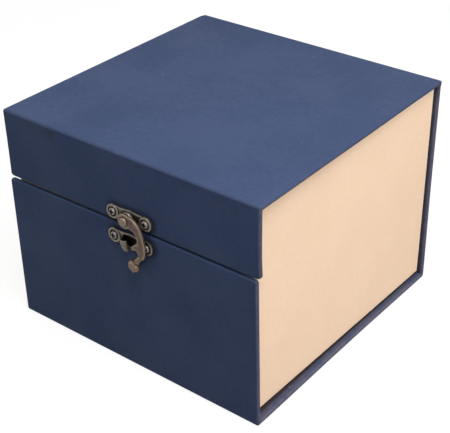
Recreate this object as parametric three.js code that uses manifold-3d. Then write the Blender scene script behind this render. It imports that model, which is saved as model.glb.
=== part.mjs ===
// Doll head storage box: a paper-covered rigid box with a hinged lid, a front
// flap that hangs from the lid, a tan tray glued inside, a sponge nest for the
// head and a small hook latch.
// Millimetres, +Z up. The origin is the centre of the underside. The front of
// the box faces -Y, and +X is to the right of someone who looks at the front.

import * as THREE from 'three';
import { mergeVertices } from 'three/addons/utils/BufferGeometryUtils.js';
import Module from 'manifold-3d';

const wasm = await Module();
wasm.setup();

// Case: five boards in one sheet of blue paper.
const caseWidth = 160;
const caseDepth = 161.5;
const caseHeight = 124;
const caseBoard = 2.0;
const paper = 0.25;
const glueLine = 0.05;
const turnIn = 12;
const foldRadius = 0.6;
const cornerRadius = 1.6;
const lowerPanelHeight = 84.9;
const seamGap = 1.2;
const hingeLeg = 5;
const mitreGap = 0.3;
const lowerPanelShift = -0.45;
const flapShift = 0.4;

// Linings of the lid and the flap.
const linerInset = 4;

// Tray: five boards, wrapped and lined in tan paper.
const trayBoard = 2.0;
const trayInset = 3.2;
const closingGap = 0.3;
const lidRest = 0.3;
const trayTurnIn = 14;
const liningStep = 2;

// Sponge nest.
const nestBaseThickness = 20;
const nestRadius = 50;
const spongeGap = 0.3;
const lidSpongeThickness = 10;
const lidSpongeInset = 4;
const lidSpongeCorner = 6;
const headroom = 1;

// Latch plates. Heights are measured from the middle of the seam between the
// flap and the lower panel, and outlines from the middle of each plate.
const latchX = 4.1;
const plateSheet = 1.0;
const plateEase = 0.25;
const lobeRadius = 3.9;
const lobeHeight = 1.5;
const screwSpacing = 20.8;
const hookPlateRise = 5.9;
const hookPlateCrown = 4.0;
const hookPlateBelly = 4.0;
const plateWaist = 3.1;
const catchPlateDrop = 7.6;
const catchPlateCrown = 4.1;
const catchPlateBelly = 5.8;

// Raised boss of the hook plate, which carries the rivet.
const bossRadius = 4.2;
const bossTopRadius = 3.7;
const bossHeight = 2.4;

// Catch beak: a hollow nose pressed out of the catch plate, open at its top
// and on the side that the hook comes from. The window is the hole it leaves.
const beakX = -2.1;
const beakTop = 0.7;
const beakHalfWidth = 3.5;
const beakLength = 6.2;
const beakDepth = 5.4;
const beakWall = 0.8;
const beakCut = 2.0;
const beakRoot = 0.4;
const windowLeft = -4.8;
const windowRight = 4.9;
const windowLow = -3.0;
const windowHigh = 2.6;
const windowCorner = 0.9;

// Screws.
const screwHeadRadius = 2.0;
const screwHeadHeight = 1.45;
const headCrown = 0.6;
const headFlat = 1.5;
const dishDepth = 0.8;
const dishPlay = 0.7;
const shankRadius = 0.85;
const screwReach = 2.2;
const screwPlay = 0.1;
const crossLength = 2.4;
const crossWidth = 0.6;
const crossDepth = 0.6;

// Rivet, and the hook that turns on it.
const rivetX = -0.7;
const rivetRise = 4.9;
const rivetShankRadius = 1.25;
const rivetPlay = 0.09;
const rivetHeadRadius = 2.4;
const rivetHeadHeight = 1.4;
const rivetFootRadius = 2.2;
const rivetFootHeight = 0.8;
const hookPlay = 0.15;
const hookThickness = 1.6;
const hookEase = 0.35;
const eyeRadius = 4.1;

// Edges of the hook, measured from the rivet: the outer edge from the eye down
// to the tail, then the inner edge of the tail, the claw and the open bight.
const hookOuterEdge = [[4.9, 3.1], [9.1, -0.3], [11.4, -5.1], [11.8, -9.8], [11.0, -15.0], [8.9, -20.3]];
const hookTailEdge = [[5.1, -20.0], [7.0, -17.0], [6.2, -14.4]];
const hookBightEdge = [[4.9, -11.8], [7.2, -9.4], [7.5, -6.6], [5.8, -4.0], [2.6, -3.0]];
const clawGap = 2.7;
const clawHigh = -13.5;
const clawLow = -14.7;
const clawSlant = 0.9;

// Finger curl at the end of the tail, rolled forward round a small bend.
const tailX = 4.4;
const tailY = -24.7;
const tailWidth = 4.4;
const tailLean = 0.65;
const curlRadius = 2.0;
const curlSheet = 1.2;
const curlTurn = 1.6 * Math.PI;
const curlRoot = 1;

// Fineness of round shapes, and a length that reaches out of any thin piece.
const roundSteps = 32;
const beyond = 6;

// Worked out from the sizes above.
const skin = paper + glueLine;
const panel = 2 * skin + caseBoard;
const trayBed = skin + closingGap;
const trayWidth = caseWidth - 2 * trayInset;
const trayDepth = caseDepth - 2 * (panel + trayBed);
const trayBottom = panel + trayBed;
const trayTop = caseHeight - panel - skin - lidRest;
const trayWall = 2 * skin + trayBoard;
const roomWidth = trayWidth - 2 * (trayWall + skin);
const roomDepth = trayDepth - 2 * (trayWall + skin);
const roomFloor = trayBottom + trayWall;
const flapBottom = lowerPanelHeight + seamGap;
const flapHeight = caseHeight - flapBottom;
const seamMiddle = lowerPanelHeight + seamGap / 2;
const lidSpongeTop = caseHeight - panel - skin - glueLine;
const lidSpongeBottom = lidSpongeTop - lidSpongeThickness;
const nestBaseBottom = roomFloor + glueLine;
const nestBaseTop = nestBaseBottom + nestBaseThickness;
const nestRingBottom = nestBaseTop + glueLine;
const nestRingTop = lidSpongeBottom - headroom;
const dishFloor = lobeHeight - dishDepth;
const dishRadius = screwHeadRadius + dishPlay;
const rivetHoleRadius = rivetShankRadius + rivetPlay;
const bossHollow = bossHeight - plateSheet;
const hookBack = bossHeight + hookPlay;
const hookFront = hookBack + hookThickness;
const hookPlateY = seamMiddle + hookPlateRise;
const catchPlateY = seamMiddle - catchPlateDrop;
const rivetPlace = [latchX + rivetX, seamMiddle + rivetRise];
const clawTip = beakX + beakCut + clawGap - rivetX;

const coverPaper = new THREE.MeshStandardMaterial({ color: 0x3d4866, roughness: 0.85, metalness: 0 });
const trayPaper = new THREE.MeshStandardMaterial({ color: 0xefd1b5, roughness: 0.8, metalness: 0 });
const greyBoard = new THREE.MeshStandardMaterial({ color: 0x8f8b82, roughness: 0.95, metalness: 0 });
const whiteSponge = new THREE.MeshStandardMaterial({ color: 0xe8e4da, roughness: 1, metalness: 0 });
const bronze = new THREE.MeshStandardMaterial({ color: 0x6b5b49, roughness: 0.45, metalness: 0.9 });

function solidOf(geometry) {
  const bare = geometry.clone();
  bare.deleteAttribute('normal');
  bare.deleteAttribute('uv');
  const merged = mergeVertices(bare, 1e-4);
  const vertProperties = new Float32Array(merged.attributes.position.array);
  const triVerts = new Uint32Array(merged.index.array);
  return new wasm.Manifold(new wasm.Mesh({ numProp: 3, vertProperties, triVerts }));
}

function geometryOf(solid) {
  const mesh = solid.getMesh();
  const geometry = new THREE.BufferGeometry();
  geometry.setAttribute('position', new THREE.BufferAttribute(mesh.vertProperties, 3));
  geometry.setIndex(new THREE.BufferAttribute(mesh.triVerts, 1));
  geometry.computeVertexNormals();
  return geometry;
}

function addPiece(parent, name, solid, material) {
  const mesh = new THREE.Mesh(geometryOf(solid), material);
  mesh.name = name;
  parent.add(mesh);
}

function block(xLow, xHigh, yLow, yHigh, zLow, zHigh) {
  const geometry = new THREE.BoxGeometry(xHigh - xLow, yHigh - yLow, zHigh - zLow);
  geometry.translate((xLow + xHigh) / 2, (yLow + yHigh) / 2, (zLow + zHigh) / 2);
  return solidOf(geometry);
}

// A block centred on the Z axis, given by its half sizes.
function centredBlock(halfX, halfY, zLow, zHigh) {
  return block(-halfX, halfX, -halfY, halfY, zLow, zHigh);
}

function roundedOutline(xLow, xHigh, yLow, yHigh, radius) {
  const outline = new THREE.Shape();
  outline.moveTo(xLow + radius, yLow);
  outline.lineTo(xHigh - radius, yLow);
  outline.absarc(xHigh - radius, yLow + radius, radius, -Math.PI / 2, 0);
  outline.lineTo(xHigh, yHigh - radius);
  outline.absarc(xHigh - radius, yHigh - radius, radius, 0, Math.PI / 2);
  outline.lineTo(xLow + radius, yHigh);
  outline.absarc(xLow + radius, yHigh - radius, radius, Math.PI / 2, Math.PI);
  outline.lineTo(xLow, yLow + radius);
  outline.absarc(xLow + radius, yLow + radius, radius, Math.PI, 1.5 * Math.PI);
  return outline;
}

// A plate of an outline between two heights, its edges rounded by the ease.
function plate(outline, zLow, zHigh, ease = 0, steps = 4) {
  const geometry = new THREE.ExtrudeGeometry(outline, {
    depth: zHigh - zLow - 2 * ease,
    bevelEnabled: ease > 0,
    bevelThickness: ease,
    bevelSize: ease,
    bevelOffset: -ease,
    bevelSegments: 2,
    curveSegments: steps,
  });
  geometry.translate(0, 0, zLow + ease);
  return solidOf(geometry);
}

// A turned piece round the local Z axis at x, y. Points are radius, height.
function turned(x, y, points) {
  const profile = points.map(([radius, height]) => new THREE.Vector2(radius, height));
  const geometry = new THREE.LatheGeometry(profile, roundSteps);
  geometry.rotateX(Math.PI / 2);
  geometry.translate(x, y, 0);
  return solidOf(geometry);
}

function disc(x, y, radius, zLow, zHigh) {
  return turned(x, y, [[0, zLow], [radius, zLow], [radius, zHigh], [0, zHigh]]);
}

// One panel of the case in its own frame: x across, y up from 0 to height and
// z out of the panel, with its outer face at 0. An edge is wrapped in the
// turned-in paper, mitred at 45 degrees for a hinge, or cut plain.
function panelCuts(width, height, low, high) {
  const side = width / 2 + beyond;
  const half = block(-side, side, 0, height, -side, side);
  const cuts = [];
  if (low === 'mitred') {
    cuts.push(half.translate([0, -height, 0]).rotate([45, 0, 0]).translate([0, mitreGap, 0]));
  }
  if (high === 'mitred') {
    cuts.push(half.rotate([-45, 0, 0]).translate([0, height - mitreGap, 0]));
  }
  if (low === 'plain') {
    cuts.push(half.translate([0, -height, 0]));
  }
  if (high === 'plain') {
    cuts.push(half.translate([0, height, 0]));
  }
  return cuts;
}

// The outline of a panel, drawn in from its wrapped edges by the inset and
// run past the others, which are cut afterwards.
function panelOutline(width, height, low, high, inset, radius) {
  const yLow = low === 'wrapped' ? inset : -beyond;
  const yHigh = high === 'wrapped' ? height - inset : height + beyond;
  return roundedOutline(inset - width / 2, width / 2 - inset, yLow, yHigh, radius);
}

function subtractAll(solid, cuts) {
  return cuts.reduce((left, cut) => left.subtract(cut), solid);
}

function panelBoard(width, height, low, high, holes = []) {
  const outline = panelOutline(width, height, low, high, skin, cornerRadius - skin);
  const board = plate(outline, -(skin + caseBoard), -skin);
  return subtractAll(board, [...panelCuts(width, height, low, high), ...holes]);
}

function panelCover(width, height, low, high, holes = []) {
  const outer = panelOutline(width, height, low, high, 0, cornerRadius);
  const pocket = panelOutline(width, height, low, high, paper, cornerRadius - paper);
  const opening = panelOutline(width, height, low, high, turnIn, cornerRadius);
  const cuts = [
    plate(pocket, -(panel - paper), -paper),
    plate(opening, -panel - beyond, -panel / 2),
    ...panelCuts(width, height, low, high),
    ...holes,
  ];
  const side = width / 2 + beyond;
  const bridge = -(paper + glueLine / 2);
  if (low === 'mitred') {
    cuts.push(block(-side, side, -beyond, hingeLeg + glueLine, bridge, beyond));
  }
  if (high === 'mitred') {
    cuts.push(block(-side, side, height - hingeLeg - glueLine, height + beyond, bridge, beyond));
  }
  return subtractAll(plate(outer, -panel, 0, foldRadius), cuts);
}

// The paper that folds at a hinge, in the frame of the case's front top edge.
function hingePaper() {
  const bend = new THREE.Shape();
  bend.moveTo(hingeLeg, 0);
  bend.lineTo(foldRadius, 0);
  bend.absarc(foldRadius, -foldRadius, foldRadius, Math.PI / 2, Math.PI);
  bend.lineTo(0, -hingeLeg);
  bend.lineTo(paper, -hingeLeg);
  bend.lineTo(paper, -foldRadius);
  bend.absarc(foldRadius, -foldRadius, foldRadius - paper, Math.PI, Math.PI / 2, true);
  bend.lineTo(hingeLeg, -paper);
  const length = caseWidth - 2 * foldRadius;
  const geometry = new THREE.ExtrudeGeometry(bend, {
    depth: length,
    bevelEnabled: false,
    curveSegments: 4,
  });
  geometry.translate(0, 0, -length / 2);
  geometry.rotateX(Math.PI / 2);
  geometry.rotateZ(Math.PI / 2);
  return solidOf(geometry);
}

// The linings glued inside the lid and the flap, over the turned-in paper.
function panelLiner(width, yLow, yHigh) {
  const halfWidth = width / 2 - linerInset;
  return block(-halfWidth, halfWidth, yLow, yHigh, -(panel + skin), -(panel + glueLine));
}

// The tan paper round the tray walls, turned in over the rim and under them.
function trayWrap() {
  const halfX = trayWidth / 2;
  const halfY = trayDepth / 2;
  const outline = roundedOutline(-halfX, halfX, -halfY, halfY, cornerRadius);
  const low = trayBottom + paper;
  const wallBack = trayWall - paper;
  const pocket = centredBlock(halfX - paper, halfY - paper, low, trayTop - paper)
    .subtract(centredBlock(halfX - wallBack, halfY - wallBack, low - beyond, trayTop + beyond));
  const mouth = centredBlock(halfX - trayWall, halfY - trayWall, low, trayTop + beyond);
  const below = centredBlock(halfX - wallBack, halfY - wallBack, low, trayTop - trayTurnIn);
  const under = centredBlock(halfX - trayTurnIn, halfY - trayTurnIn, trayBottom - beyond, trayTop);
  return subtractAll(plate(outline, trayBottom, trayTop, foldRadius), [pocket, mouth, below, under]);
}

function trayLining() {
  const halfX = roomWidth / 2;
  const halfY = roomDepth / 2;
  const high = trayTop - liningStep;
  return centredBlock(halfX + paper, halfY + paper, roomFloor - paper, high)
    .subtract(centredBlock(halfX, halfY, roomFloor, high + beyond));
}

function addTray(parent) {
  const halfX = trayWidth / 2 - skin;
  const halfY = trayDepth / 2 - skin;
  const low = trayBottom + skin;
  const high = trayTop - skin;
  const insideX = halfX - trayBoard;
  const insideY = halfY - trayBoard;
  const betweenX = insideX - glueLine;
  const betweenY = insideY - glueLine;
  addPiece(parent, 'tray_left_board', block(-halfX, -insideX, -halfY, halfY, low, high), greyBoard);
  addPiece(parent, 'tray_right_board', block(insideX, halfX, -halfY, halfY, low, high), greyBoard);
  addPiece(parent, 'tray_front_board', block(-betweenX, betweenX, -halfY, -insideY, low, high), greyBoard);
  addPiece(parent, 'tray_back_board', block(-betweenX, betweenX, insideY, halfY, low, high), greyBoard);
  addPiece(parent, 'tray_floor_board', centredBlock(betweenX, betweenY, low, low + trayBoard), greyBoard);
  addPiece(parent, 'tray_wrap_paper', trayWrap(), trayPaper);
  addPiece(parent, 'tray_lining_paper', trayLining(), trayPaper);
}

function addSponge(parent) {
  const halfX = roomWidth / 2 - spongeGap;
  const halfY = roomDepth / 2 - spongeGap;
  addPiece(parent, 'nest_base_sponge', centredBlock(halfX, halfY, nestBaseBottom, nestBaseTop), whiteSponge);
  const ring = centredBlock(halfX, halfY, nestRingBottom, nestRingTop)
    .subtract(disc(0, 0, nestRadius, nestRingBottom - beyond, nestRingTop + beyond));
  addPiece(parent, 'nest_ring_sponge', ring, whiteSponge);
}

function lidSponge() {
  const halfX = roomWidth / 2 - lidSpongeInset;
  const halfY = roomDepth / 2 - lidSpongeInset;
  const outline = roundedOutline(-halfX, halfX, -halfY, halfY, lidSpongeCorner);
  return plate(outline, lidSpongeBottom, lidSpongeTop);
}

function screwPlaces(plateY) {
  return [-1, 1].map((side) => [latchX + side * screwSpacing / 2, plateY]);
}

// Holes through a panel for the screws of one latch plate, in panel frame.
function screwHoles(plateY, panelX, panelY) {
  return screwPlaces(plateY)
    .map(([x, y]) => disc(x - panelX, y - panelY, shankRadius + screwPlay, -panel, beyond));
}

// The flat sheet of a latch plate with a dished lobe at each screw.
function latchSheet(plateY, crown, belly, lowestX) {
  const arm = screwSpacing / 2;
  const edge = lobeRadius - plateEase;
  const web = new THREE.Shape();
  web.moveTo(-arm, edge);
  web.quadraticCurveTo(-arm / 2, plateWaist, 0, crown);
  web.quadraticCurveTo(arm / 2, plateWaist, arm, edge);
  web.lineTo(arm, -edge);
  web.quadraticCurveTo(arm / 2, -plateWaist, lowestX, -belly);
  web.quadraticCurveTo(-arm / 2, -plateWaist, -arm, -edge);
  let sheet = plate(web, 0, plateSheet, plateEase, 8).translate([latchX, plateY, 0]);
  for (const [x, y] of screwPlaces(plateY)) {
    sheet = sheet.add(turned(x, y, [
      [0, 0],
      [lobeRadius - plateEase, 0],
      [lobeRadius, plateEase],
      [lobeRadius, lobeHeight - plateEase],
      [lobeRadius - plateEase, lobeHeight],
      [0, lobeHeight],
    ]));
    sheet = sheet.subtract(disc(x, y, dishRadius, dishFloor, beyond));
    sheet = sheet.subtract(disc(x, y, shankRadius + screwPlay, -beyond, beyond));
  }
  return sheet;
}

function hookPlate() {
  const [x, y] = rivetPlace;
  const boss = turned(x, y, [
    [0, 0],
    [bossRadius, 0],
    [bossRadius, plateSheet],
    [bossTopRadius, bossHeight],
    [0, bossHeight],
  ]);
  const hollow = turned(x, y, [
    [0, -beyond],
    [bossRadius - plateSheet, -beyond],
    [bossRadius - plateSheet, 0],
    [bossTopRadius - plateSheet, bossHollow],
    [0, bossHollow],
  ]);
  return latchSheet(hookPlateY, hookPlateCrown, hookPlateBelly, rivetX)
    .add(boss)
    .subtract(hollow)
    .subtract(disc(x, y, rivetHoleRadius, -beyond, beyond));
}

function noseOf(halfWidth, length, depth) {
  const geometry = new THREE.SphereGeometry(1, 24, 16);
  geometry.scale(halfWidth, length, depth);
  geometry.translate(beakX, beakTop, beakRoot);
  return solidOf(geometry);
}

function catchPlate() {
  const window = roundedOutline(windowLeft, windowRight, windowLow, windowHigh, windowCorner);
  const sheet = latchSheet(catchPlateY, catchPlateCrown, catchPlateBelly, beakX)
    .subtract(plate(window, -beyond, beyond).translate([latchX, catchPlateY, 0]));
  const shell = noseOf(beakHalfWidth, beakLength, beakDepth)
    .subtract(noseOf(beakHalfWidth - beakWall, beakLength - beakWall, beakDepth - beakWall));
  const reach = 2 * beyond;
  const kept = block(-reach, beakX + beakCut, -reach, beakTop, beakRoot, reach);
  return sheet.add(shell.intersect(kept).translate([latchX, catchPlateY, 0]));
}

function screw([x, y]) {
  const top = dishFloor + screwHeadHeight;
  const body = turned(x, y, [
    [0, -screwReach],
    [shankRadius, shankRadius - screwReach],
    [shankRadius, dishFloor],
    [screwHeadRadius, dishFloor],
    [screwHeadRadius, top - headCrown],
    [headFlat, top],
    [0, top],
  ]);
  const long = crossLength / 2;
  const short = crossWidth / 2;
  const bar = block(x - long, x + long, y - short, y + short, top - crossDepth, beyond);
  const upright = block(x - short, x + short, y - long, y + long, top - crossDepth, beyond);
  return body.subtract(bar.add(upright));
}

function rivet() {
  const [x, y] = rivetPlace;
  const footTop = bossHollow - hookPlay;
  const headLow = hookFront + hookPlay;
  const dome = new THREE.EllipseCurve(0, headLow, rivetHeadRadius, rivetHeadHeight, 0, Math.PI / 2);
  return turned(x, y, [
    [0, footTop - rivetFootHeight],
    [rivetFootRadius, footTop - rivetFootHeight],
    [rivetFootRadius, footTop],
    [rivetShankRadius, footTop],
    [rivetShankRadius, headLow],
    ...dome.getPoints(6).slice(0, -1).map((point) => [point.x, point.y]),
    [0, headLow + rivetHeadHeight],
  ]);
}

// The flat of the hook: out from the eye, round the open bight and the claw,
// and down the tail to where it curls.
function hookFlat() {
  const across = new THREE.Vector2(Math.cos(tailLean), -Math.sin(tailLean)).multiplyScalar(tailWidth / 2);
  const points = (list) => list.map(([x, y]) => new THREE.Vector2(x, y));
  const outline = new THREE.Shape();
  outline.moveTo(0, eyeRadius - hookEase);
  outline.splineThru(points([...hookOuterEdge, [tailX + across.x, tailY + across.y]]));
  outline.lineTo(tailX - across.x, tailY - across.y);
  outline.splineThru(points(hookTailEdge));
  outline.lineTo(clawTip + clawSlant, clawLow);
  outline.lineTo(clawTip, clawHigh);
  outline.splineThru(points(hookBightEdge));
  outline.lineTo(0, 0);
  return plate(outline, hookBack, hookFront, hookEase, 5);
}

function hookCurl() {
  const centre = hookBack + curlRadius;
  const end = curlTurn - Math.PI / 2;
  const roll = new THREE.Shape();
  roll.moveTo(-curlRoot, hookBack);
  roll.absarc(0, centre, curlRadius, -Math.PI / 2, end);
  roll.absarc(0, centre, curlRadius - curlSheet, end, -Math.PI / 2, true);
  roll.lineTo(-curlRoot, hookBack + curlSheet);
  const geometry = new THREE.ExtrudeGeometry(roll, {
    depth: tailWidth - 2 * hookEase,
    bevelEnabled: true,
    bevelThickness: hookEase,
    bevelSize: hookEase,
    bevelOffset: -hookEase,
    bevelSegments: 1,
    curveSegments: 12,
  });
  geometry.translate(0, 0, hookEase - tailWidth / 2);
  geometry.rotateX(Math.PI / 2);
  geometry.rotateZ(-Math.PI / 2 - tailLean);
  geometry.translate(tailX, tailY, 0);
  return solidOf(geometry);
}

function hook() {
  const [x, y] = rivetPlace;
  const eye = turned(0, 0, [
    [0, hookBack],
    [eyeRadius - hookEase, hookBack],
    [eyeRadius, hookBack + hookEase],
    [eyeRadius, hookFront - hookEase],
    [eyeRadius - hookEase, hookFront],
    [0, hookFront],
  ]);
  return eye
    .add(hookFlat())
    .add(hookCurl())
    .subtract(disc(0, 0, rivetHoleRadius, 0, 2 * beyond))
    .translate([x, y, 0]);
}

// A frame whose z points out of the front or the back of the box, with y up.
function uprightFrame(x, bottom, facesBack = false) {
  const frame = new THREE.Group();
  frame.rotation.x = Math.PI / 2;
  frame.position.set(x, -caseDepth / 2, bottom);
  const turn = new THREE.Group();
  turn.rotation.z = facesBack ? Math.PI : 0;
  turn.add(frame);
  box.add(turn);
  return frame;
}

const box = new THREE.Group();

const lidFrame = new THREE.Group();
lidFrame.position.set(0, -caseDepth / 2, caseHeight);
box.add(lidFrame);
addPiece(lidFrame, 'lid_board', panelBoard(caseWidth, caseDepth, 'mitred', 'mitred'), greyBoard);
addPiece(lidFrame, 'lid_cover_paper', panelCover(caseWidth, caseDepth, 'mitred', 'mitred'), coverPaper);
const lidLinerEdge = panel + linerInset;
const lidLiner = panelLiner(caseWidth, lidLinerEdge, caseDepth - lidLinerEdge);
addPiece(lidFrame, 'lid_lining_paper', lidLiner, trayPaper);

const flapFrame = uprightFrame(flapShift, flapBottom);
const flapHoles = screwHoles(hookPlateY, flapShift, flapBottom);
addPiece(flapFrame, 'flap_board', panelBoard(caseWidth, flapHeight, 'wrapped', 'mitred', flapHoles), greyBoard);
addPiece(flapFrame, 'flap_cover_paper', panelCover(caseWidth, flapHeight, 'wrapped', 'mitred', flapHoles), coverPaper);
const flapLiner = panelLiner(caseWidth, linerInset, flapHeight - lidLinerEdge);
addPiece(flapFrame, 'flap_lining_paper', flapLiner, trayPaper);

const frontFrame = uprightFrame(lowerPanelShift, 0);
const frontHoles = screwHoles(catchPlateY, lowerPanelShift, 0);
const frontBoard = panelBoard(caseWidth, lowerPanelHeight, 'wrapped', 'wrapped', frontHoles);
const frontCover = panelCover(caseWidth, lowerPanelHeight, 'wrapped', 'wrapped', frontHoles);
addPiece(frontFrame, 'front_board', frontBoard, greyBoard);
addPiece(frontFrame, 'front_cover_paper', frontCover, coverPaper);

const backFrame = uprightFrame(0, 0, true);
addPiece(backFrame, 'back_board', panelBoard(caseWidth, caseHeight, 'wrapped', 'mitred'), greyBoard);
addPiece(backFrame, 'back_cover_paper', panelCover(caseWidth, caseHeight, 'wrapped', 'mitred'), coverPaper);

const baseFrame = new THREE.Group();
const baseLength = caseDepth - 2 * (panel + glueLine);
baseFrame.rotation.x = Math.PI;
baseFrame.position.set(0, baseLength / 2, 0);
box.add(baseFrame);
addPiece(baseFrame, 'base_board', panelBoard(caseWidth, baseLength, 'plain', 'plain'), greyBoard);
addPiece(baseFrame, 'base_cover_paper', panelCover(caseWidth, baseLength, 'plain', 'plain'), coverPaper);

const flapHinge = new THREE.Group();
flapHinge.position.set(0, -caseDepth / 2, caseHeight);
box.add(flapHinge);
addPiece(flapHinge, 'flap_hinge_paper', hingePaper(), coverPaper);
const lidHinge = new THREE.Group();
lidHinge.position.set(0, caseDepth / 2, caseHeight);
lidHinge.rotation.z = Math.PI;
box.add(lidHinge);
addPiece(lidHinge, 'lid_hinge_paper', hingePaper(), coverPaper);

addTray(box);
addSponge(box);
addPiece(box, 'lid_sponge', lidSponge(), whiteSponge);

const latchFrame = uprightFrame(0, 0);
addPiece(latchFrame, 'hook_plate', hookPlate(), bronze);
addPiece(latchFrame, 'catch_plate', catchPlate(), bronze);
addPiece(latchFrame, 'hook', hook(), bronze);
addPiece(latchFrame, 'hook_rivet', rivet(), bronze);
for (const [plateName, plateY] of [['hook_plate', hookPlateY], ['catch_plate', catchPlateY]]) {
  screwPlaces(plateY).forEach((place, index) => {
    const side = index === 0 ? 'left' : 'right';
    addPiece(latchFrame, `${plateName}_screw_${side}`, screw(place), bronze);
  });
}

export default box;
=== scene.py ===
"""Doll head storage box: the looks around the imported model.

One sheet of dark blue paper wraps five boards, from the front panel under the
base, up the back, over the lid and down the front flap. The sheet is drawn on
an unrolled plan and bent along the case's outer line, so it stays whole at
every fold. Metres throughout, in the model's own frame.
"""

import math

import bmesh
import bpy
import numpy as np
from mathutils import Matrix, Quaternion, Vector, noise


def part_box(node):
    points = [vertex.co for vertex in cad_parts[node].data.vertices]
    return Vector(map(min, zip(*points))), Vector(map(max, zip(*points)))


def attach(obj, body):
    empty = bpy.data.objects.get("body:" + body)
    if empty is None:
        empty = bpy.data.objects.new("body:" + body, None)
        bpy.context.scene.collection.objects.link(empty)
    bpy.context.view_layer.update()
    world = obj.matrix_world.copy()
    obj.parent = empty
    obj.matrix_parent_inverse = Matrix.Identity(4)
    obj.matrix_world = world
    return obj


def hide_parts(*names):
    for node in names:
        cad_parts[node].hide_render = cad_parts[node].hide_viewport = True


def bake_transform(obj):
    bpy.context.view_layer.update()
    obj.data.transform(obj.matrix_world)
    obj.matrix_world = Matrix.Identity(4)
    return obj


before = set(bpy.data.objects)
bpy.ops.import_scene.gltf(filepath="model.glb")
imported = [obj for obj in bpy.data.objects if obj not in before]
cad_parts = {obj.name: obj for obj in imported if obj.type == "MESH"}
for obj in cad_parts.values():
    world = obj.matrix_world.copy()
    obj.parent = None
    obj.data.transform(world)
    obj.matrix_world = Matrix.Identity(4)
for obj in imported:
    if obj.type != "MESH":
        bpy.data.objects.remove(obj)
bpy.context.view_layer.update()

MM = 0.001

# Faces of the case, read from the model.
lid_low, lid_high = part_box("lid_cover_paper")
flap_low, flap_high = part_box("flap_cover_paper")
front_low, front_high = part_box("front_cover_paper")
back_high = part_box("back_cover_paper")[1]
FRONT_Y = front_low.y
BACK_Y = back_high.y
TOP_Z = lid_high.z
PANEL = lid_high.z - lid_low.z
HALF_WIDTH = lid_high.x
TRAY_INSET = HALF_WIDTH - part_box("tray_wrap_paper")[1].x
FLAP_SHIFT = (flap_low.x + flap_high.x) / 2
FRONT_SHIFT = (front_low.x + front_high.x) / 2

# How far hand-laid edges stray to the right or drop, and how far along each is felt.
LID_FRONT_STRAY = 0.8 * MM
FRONT_TOP_LEFT_STRAY = -0.5 * MM
FRONT_TOP_RIGHT_STRAY = -1.2 * MM
FRONT_TOP_LEFT_DROP = 0.6 * MM
DROP_REACH = 30 * MM
FRONT_LOW_RIGHT_STRAY = 0.35 * MM
BACK_LOW_RIGHT_STRAY = 0.5 * MM
LOW_STRAY_REACH = 70 * MM
BACK_LEFT_CORNER_STRAY = 1.1 * MM
BACK_RIGHT_CORNER_STRAY = 0.4 * MM
BACK_CORNER_REACH = 4 * MM
TRAY_FRONT_STRAY = -0.9 * MM
TRAY_BACK_STRAY = 1.1 * MM

# The flap's right-hand turn-in, which flares towards its foot.
FLAP_FLARE = 0.9 * MM
FLARE_HEIGHT = 9 * MM
FLARE_ABOVE_FOOT = 4 * MM

# How soon down the flap its shift is full, and the power that keeps a stray to the edge.
FLAP_SHIFT_RATE = 1.6
AT_EDGE_ONLY = 24

# Shallow dents in the paper below the front fold, deeper left of a line, with painted shade in them.
DENT_DEPTH = 0.16 * MM
DENT_BELOW = 2.2 * MM
DENT_REACH = 2.4 * MM
DENT_SIZE = 7 * MM
DENT_PATTERN = 4.2
DENT_FROM = 0.05
DENT_LEFT_OF = -20 * MM
LEFT_DENTS = 1.6
OTHER_DENTS = 0.7

# Covering paper.
PAPER = 0.25 * MM
TURN_IN = 12 * MM
EDGE_RADIUS = 1.05 * MM
CORNER_RADIUS = 2.0 * MM
BASE_FOLD = 1.5 * MM
LID_FOLD = 1.3 * MM
FOLD_LEG = 8 * MM
TRAY_LIFT = 0.7 * MM

# How closely the paper's mesh is divided.
MESH_STEP = 8 * MM
DENT_STEP = 1.6 * MM
FOLD_STEP = 0.25 * MM
BESIDE_FOLD = 3.2 * MM
SAME_PLACE = 0.5e-6
NO_LENGTH = 1e-7
ROW_GAP = 1e-6
ROUNDING = 1e-9

# Wear and painted shade as shares from 0 to 1, and how far each reaches.
WEAR_REACH = 1.7 * MM
EDGE_WEAR = 0.38
SIDE_EDGE_WEAR = 0.92
SEAM_WEAR = 0.18
FOLD_WEAR = 0.62
LEDGE_WEAR = 0.6
INNER_EDGE_REACH = 2.8 * MM
INNER_EDGE_SHADE = 0.45
# How much painted shade a full dent gets.
DENT_SHADE = 0.6
# The tray's rim is rubbed pale, and a painted light band reaches down its wall.
RIM_WEAR_AND_LIGHT = 0.75
RIM_WEAR_AND_LIGHT_REACH = 4.5 * MM
TRAY_CORNER_WEAR = 0.8
# Painted shade on the turn-in beside the tray, where the gap is in shade.
GAP_SHADE_REACH = 0.7 * MM
BACK_GAP_SHADE_REACH = 3.0 * MM
GAP_SHADE_SETBACK = 0.4 * MM

# Camera of the photograph, which is 450 by 433 pixels.
CAMERA_PLACE = (0.31893, -0.40566, 0.36673)
CAMERA_FORWARD = (-0.52913, 0.66861, -0.52248)
CAMERA_ROLL = math.radians(-0.778)
CAMERA_LENS = 88.51
SENSOR_WIDTH = 36


# Small helpers for meshes.

def new_piece(name, mesh, material=None):
    piece = bpy.data.objects.new(name, mesh)
    bpy.context.scene.collection.objects.link(piece)
    if material:
        mesh.materials.clear()
        mesh.materials.append(material)
    return piece


def applied(piece):
    """The piece with its modifiers made part of its mesh."""
    depsgraph = bpy.context.evaluated_depsgraph_get()
    finished = bpy.data.meshes.new_from_object(piece.evaluated_get(depsgraph))
    piece.modifiers.clear()
    old = piece.data
    piece.data = finished
    bpy.data.meshes.remove(old)
    return piece


def soften(piece, angle=40):
    """Smooth shading that keeps edges sharper than the angle."""
    piece.data.shade_smooth()
    piece.data.set_sharp_from_angle(angle=math.radians(angle))
    return piece


def mesh_from(name, bm):
    mesh = bpy.data.meshes.new(name)
    bm.to_mesh(mesh)
    bm.free()
    return mesh


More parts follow.
